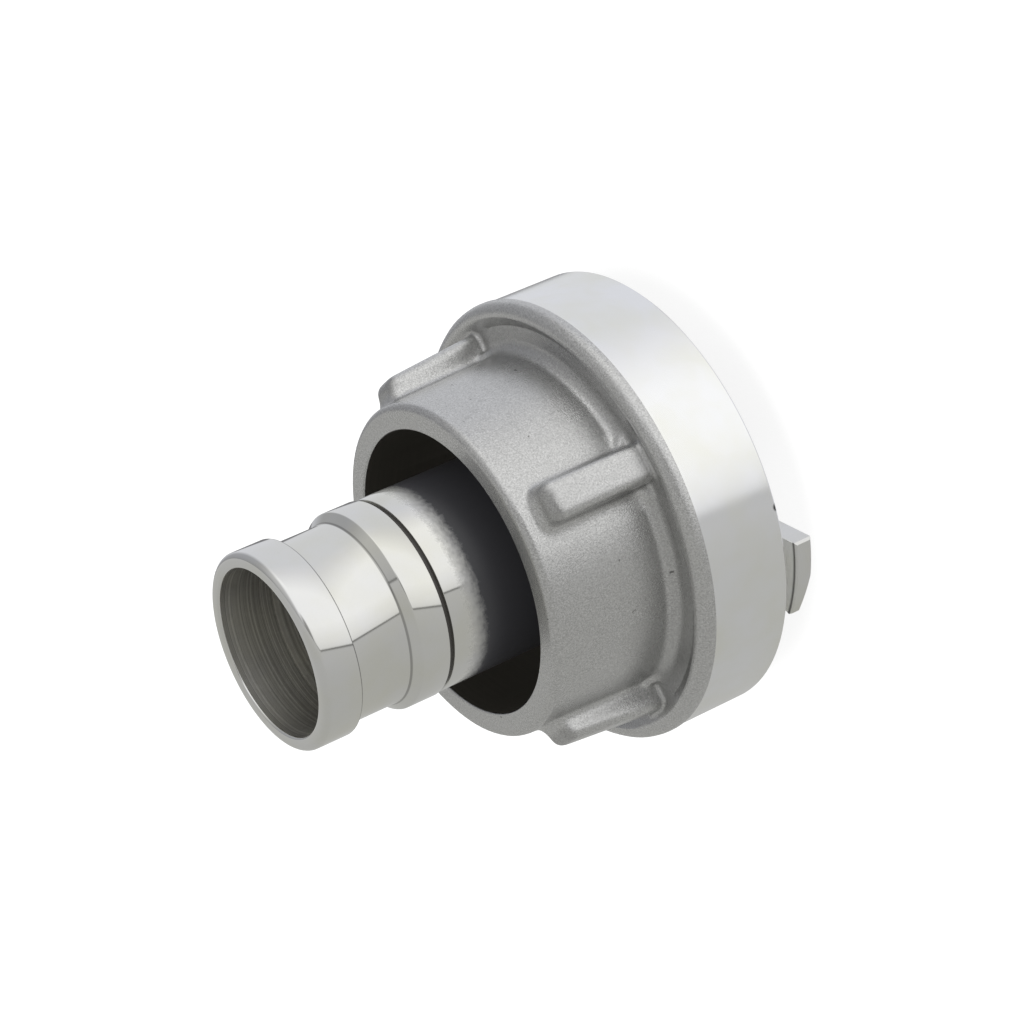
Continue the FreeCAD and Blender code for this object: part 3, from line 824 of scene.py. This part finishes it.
class COUPLING_OT_retaining_ring(bpy.types.Operator):
    """Dresses the open spring ring behind the locking ring's web"""
    bl_idname = "coupling.retaining_ring"
    bl_label = "Retaining ring"

    def execute(self, context):
        bm = merged_copy("retaining_ring")
        sharp = [edge for edge in bm.edges
                 if len(edge.link_faces) == 2 and edge.calc_face_angle() > SMOOTH_ANGLE]
        bmesh.ops.bevel(bm, geom=sharp, offset=RETAINER_ROUND, offset_type="OFFSET", segments=2,
                        profile=0.5, affect="EDGES", material=-1)
        piece = finish_mesh(bm, "spring_retaining_ring", "tail", ["retaining_ring"])
        steel = turned_metal("Spring steel", SPRING_STEEL, roughness=0.3, marks=0.01 * MM)
        piece.data.materials.append(steel.material)
        return {"FINISHED"}


# Stage
def colour_along(tree, direction, stops):
    # The room's colour as it changes along a direction from one side to the other
    place = tree.nodes.new("ShaderNodeTexCoord").outputs["Generated"]
    along = tree.nodes.new("ShaderNodeVectorMath")
    along.operation = "DOT_PRODUCT"
    along.inputs[1].default_value = direction
    tree.links.new(place, along.inputs[0])
    scaled = tree.nodes.new("ShaderNodeMapRange")
    scaled.inputs["From Min"].default_value = -1.0
    tree.links.new(along.outputs["Value"], scaled.inputs["Value"])
    ramp = tree.nodes.new("ShaderNodeValToRGB")
    elements = ramp.color_ramp.elements
    while len(elements) < len(stops):
        elements.new(0.5)
    for element, (position, colour) in zip(elements, stops):
        element.position = (position + 1) / 2
        element.color = (*colour, 1)
    tree.links.new(scaled.outputs["Result"], ramp.inputs["Fac"])
    return ramp.outputs["Color"]


class COUPLING_OT_stage(bpy.types.Operator):
    """Lays the pale floor and sets the soft light and the photograph's camera"""
    bl_idname = "coupling.stage"
    bl_label = "Stage"

    def execute(self, context):
        settings = context.scene.coupling_stage
        context.scene.view_settings.view_transform = "Standard"
        self.lay_floor(settings)
        self.hang_softbox(settings)
        self.light_room(context.scene)
        self.place_camera(context.scene)
        return {"FINISHED"}

    def lay_floor(self, settings):
        bm = bmesh.new()
        bmesh.ops.create_grid(bm, x_segments=1, y_segments=1, size=FLOOR_SIZE)
        mesh = bpy.data.meshes.new("floor")
        bm.to_mesh(mesh)
        bm.free()
        floor = bpy.data.objects.new("floor", mesh)
        bpy.context.scene.collection.objects.link(floor)
        nodes = Nodes("Floor paper")
        grain = nodes.noise(nodes.object, 300.0, detail=2.0)
        nodes.link(nodes.blend(grain, shade(settings.floor_colour, 0.99), settings.floor_colour),
                   nodes.shader.inputs["Base Color"])
        nodes.shader.inputs["Roughness"].default_value = 0.9
        nodes.shader.inputs["Specular IOR Level"].default_value = 0.0
        nodes.shader.inputs["Emission Color"].default_value = WHITE
        nodes.shader.inputs["Emission Strength"].default_value = FLOOR_GLOW
        mesh.materials.append(nodes.material)
        floor.visible_glossy = False

    def hang_softbox(self, settings):
        light = bpy.data.lights.new("overhead", "AREA")
        light.shape = "DISK"
        light.size = SOFTBOX_SIZE
        light.energy = settings.overhead
        lamp = bpy.data.objects.new("overhead", light)
        lamp.location = SOFTBOX_PLACE
        lamp.visible_glossy = False
        lamp.visible_camera = False
        bpy.context.scene.collection.objects.link(lamp)

    def light_room(self, scene):
        # The metal mirrors a bright tent above and a grey table below, as the photograph shows them
        world = bpy.data.worlds.new("studio")
        scene.world = world
        world.use_nodes = True
        tree = world.node_tree
        tent = colour_along(tree, CAMERA_BACK, TENT)
        table = colour_along(tree, CAMERA_UP, TABLE)
        above = colour_along(tree, CAMERA_UP, ABOVE_TABLE)
        left = colour_along(tree, CAMERA_RIGHT, LEFT_SIDE)
        shaded = tree.nodes.new("ShaderNodeVectorMath")
        shaded.operation = "MULTIPLY"
        tree.links.new(tent, shaded.inputs[0])
        tree.links.new(left, shaded.inputs[1])
        first, second = MIX_COLOURS
        mirrored = tree.nodes.new("ShaderNodeMix")
        mirrored.data_type = "RGBA"
        tree.links.new(above, mirrored.inputs[MIX_FACTOR])
        tree.links.new(table, mirrored.inputs[first])
        tree.links.new(shaded.outputs[0], mirrored.inputs[second])
        # The camera itself sees plain white beyond the floor
        seen = tree.nodes.new("ShaderNodeMix")
        seen.data_type = "RGBA"
        rays = tree.nodes.new("ShaderNodeLightPath")
        tree.links.new(rays.outputs["Is Camera Ray"], seen.inputs[MIX_FACTOR])
        tree.links.new(mirrored.outputs[MIXED_COLOUR], seen.inputs[first])
        seen.inputs[second].default_value = WHITE
        tree.links.new(seen.outputs[MIXED_COLOUR], tree.nodes["Background"].inputs["Color"])

    def place_camera(self, scene):
        data = bpy.data.cameras.new("camera")
        data.lens = CAMERA_LENS
        data.sensor_width = CAMERA_SENSOR
        data.sensor_fit = "HORIZONTAL"
        data.clip_start = CAMERA_CLIP_START
        camera = bpy.data.objects.new("camera", data)
        turn = Matrix((CAMERA_RIGHT, CAMERA_UP, CAMERA_BACK)).transposed()
        camera.matrix_world = Matrix.Translation(CAMERA_PLACE) @ turn.to_4x4()
        scene.collection.objects.link(camera)
        scene.camera = camera


class VIEW3D_PT_coupling(bpy.types.Panel):
    bl_label = "Coupling"
    bl_idname = "VIEW3D_PT_coupling"
    bl_space_type = "VIEW_3D"
    bl_region_type = "UI"
    bl_category = "Coupling"

    def draw(self, context):
        for operator, group, names in PANEL_ROWS:
            self.layout.operator(operator)
            for name in names:
                self.layout.prop(getattr(context.scene, group), name)


PANEL_ROWS = [
    ("coupling.locking_ring", "coupling_ring",
     ["cast_colour", "rim_colour", "bore_colour", "lug_colour", "grain"]),
    ("coupling.hose_tail", "coupling_tail",
     ["bore", "lip", "binding", "band", "barrel", "groove", "edge", "colour", "bore_colour"]),
    ("coupling.face_seal", "coupling_seal", ["inner", "nose", "colour"]),
    ("coupling.retaining_ring", "coupling_ring", []),
    ("coupling.stage", "coupling_stage", ["floor_colour", "overhead"]),
]
GROUPS = {
    "coupling_tail": TailSettings,
    "coupling_ring": RingSettings,
    "coupling_seal": SealSettings,
    "coupling_stage": StageSettings,
}
CLASSES = [
    *GROUPS.values(),
    COUPLING_OT_locking_ring,
    COUPLING_OT_hose_tail,
    COUPLING_OT_face_seal,
    COUPLING_OT_retaining_ring,
    COUPLING_OT_stage,
    VIEW3D_PT_coupling,
]


def register():
    for kind in CLASSES:
        bpy.utils.register_class(kind)
    for name, group in GROUPS.items():
        setattr(bpy.types.Scene, name, PointerProperty(type=group))


def unregister():
    for name in GROUPS:
        delattr(bpy.types.Scene, name)
    for kind in reversed(CLASSES):
        bpy.utils.unregister_class(kind)


def main():
    register()
    bpy.ops.coupling.locking_ring()
    bpy.ops.coupling.hose_tail()
    bpy.ops.coupling.face_seal()
    bpy.ops.coupling.retaining_ring()
    bpy.ops.coupling.stage()


if __name__ == "__main__":
    main()
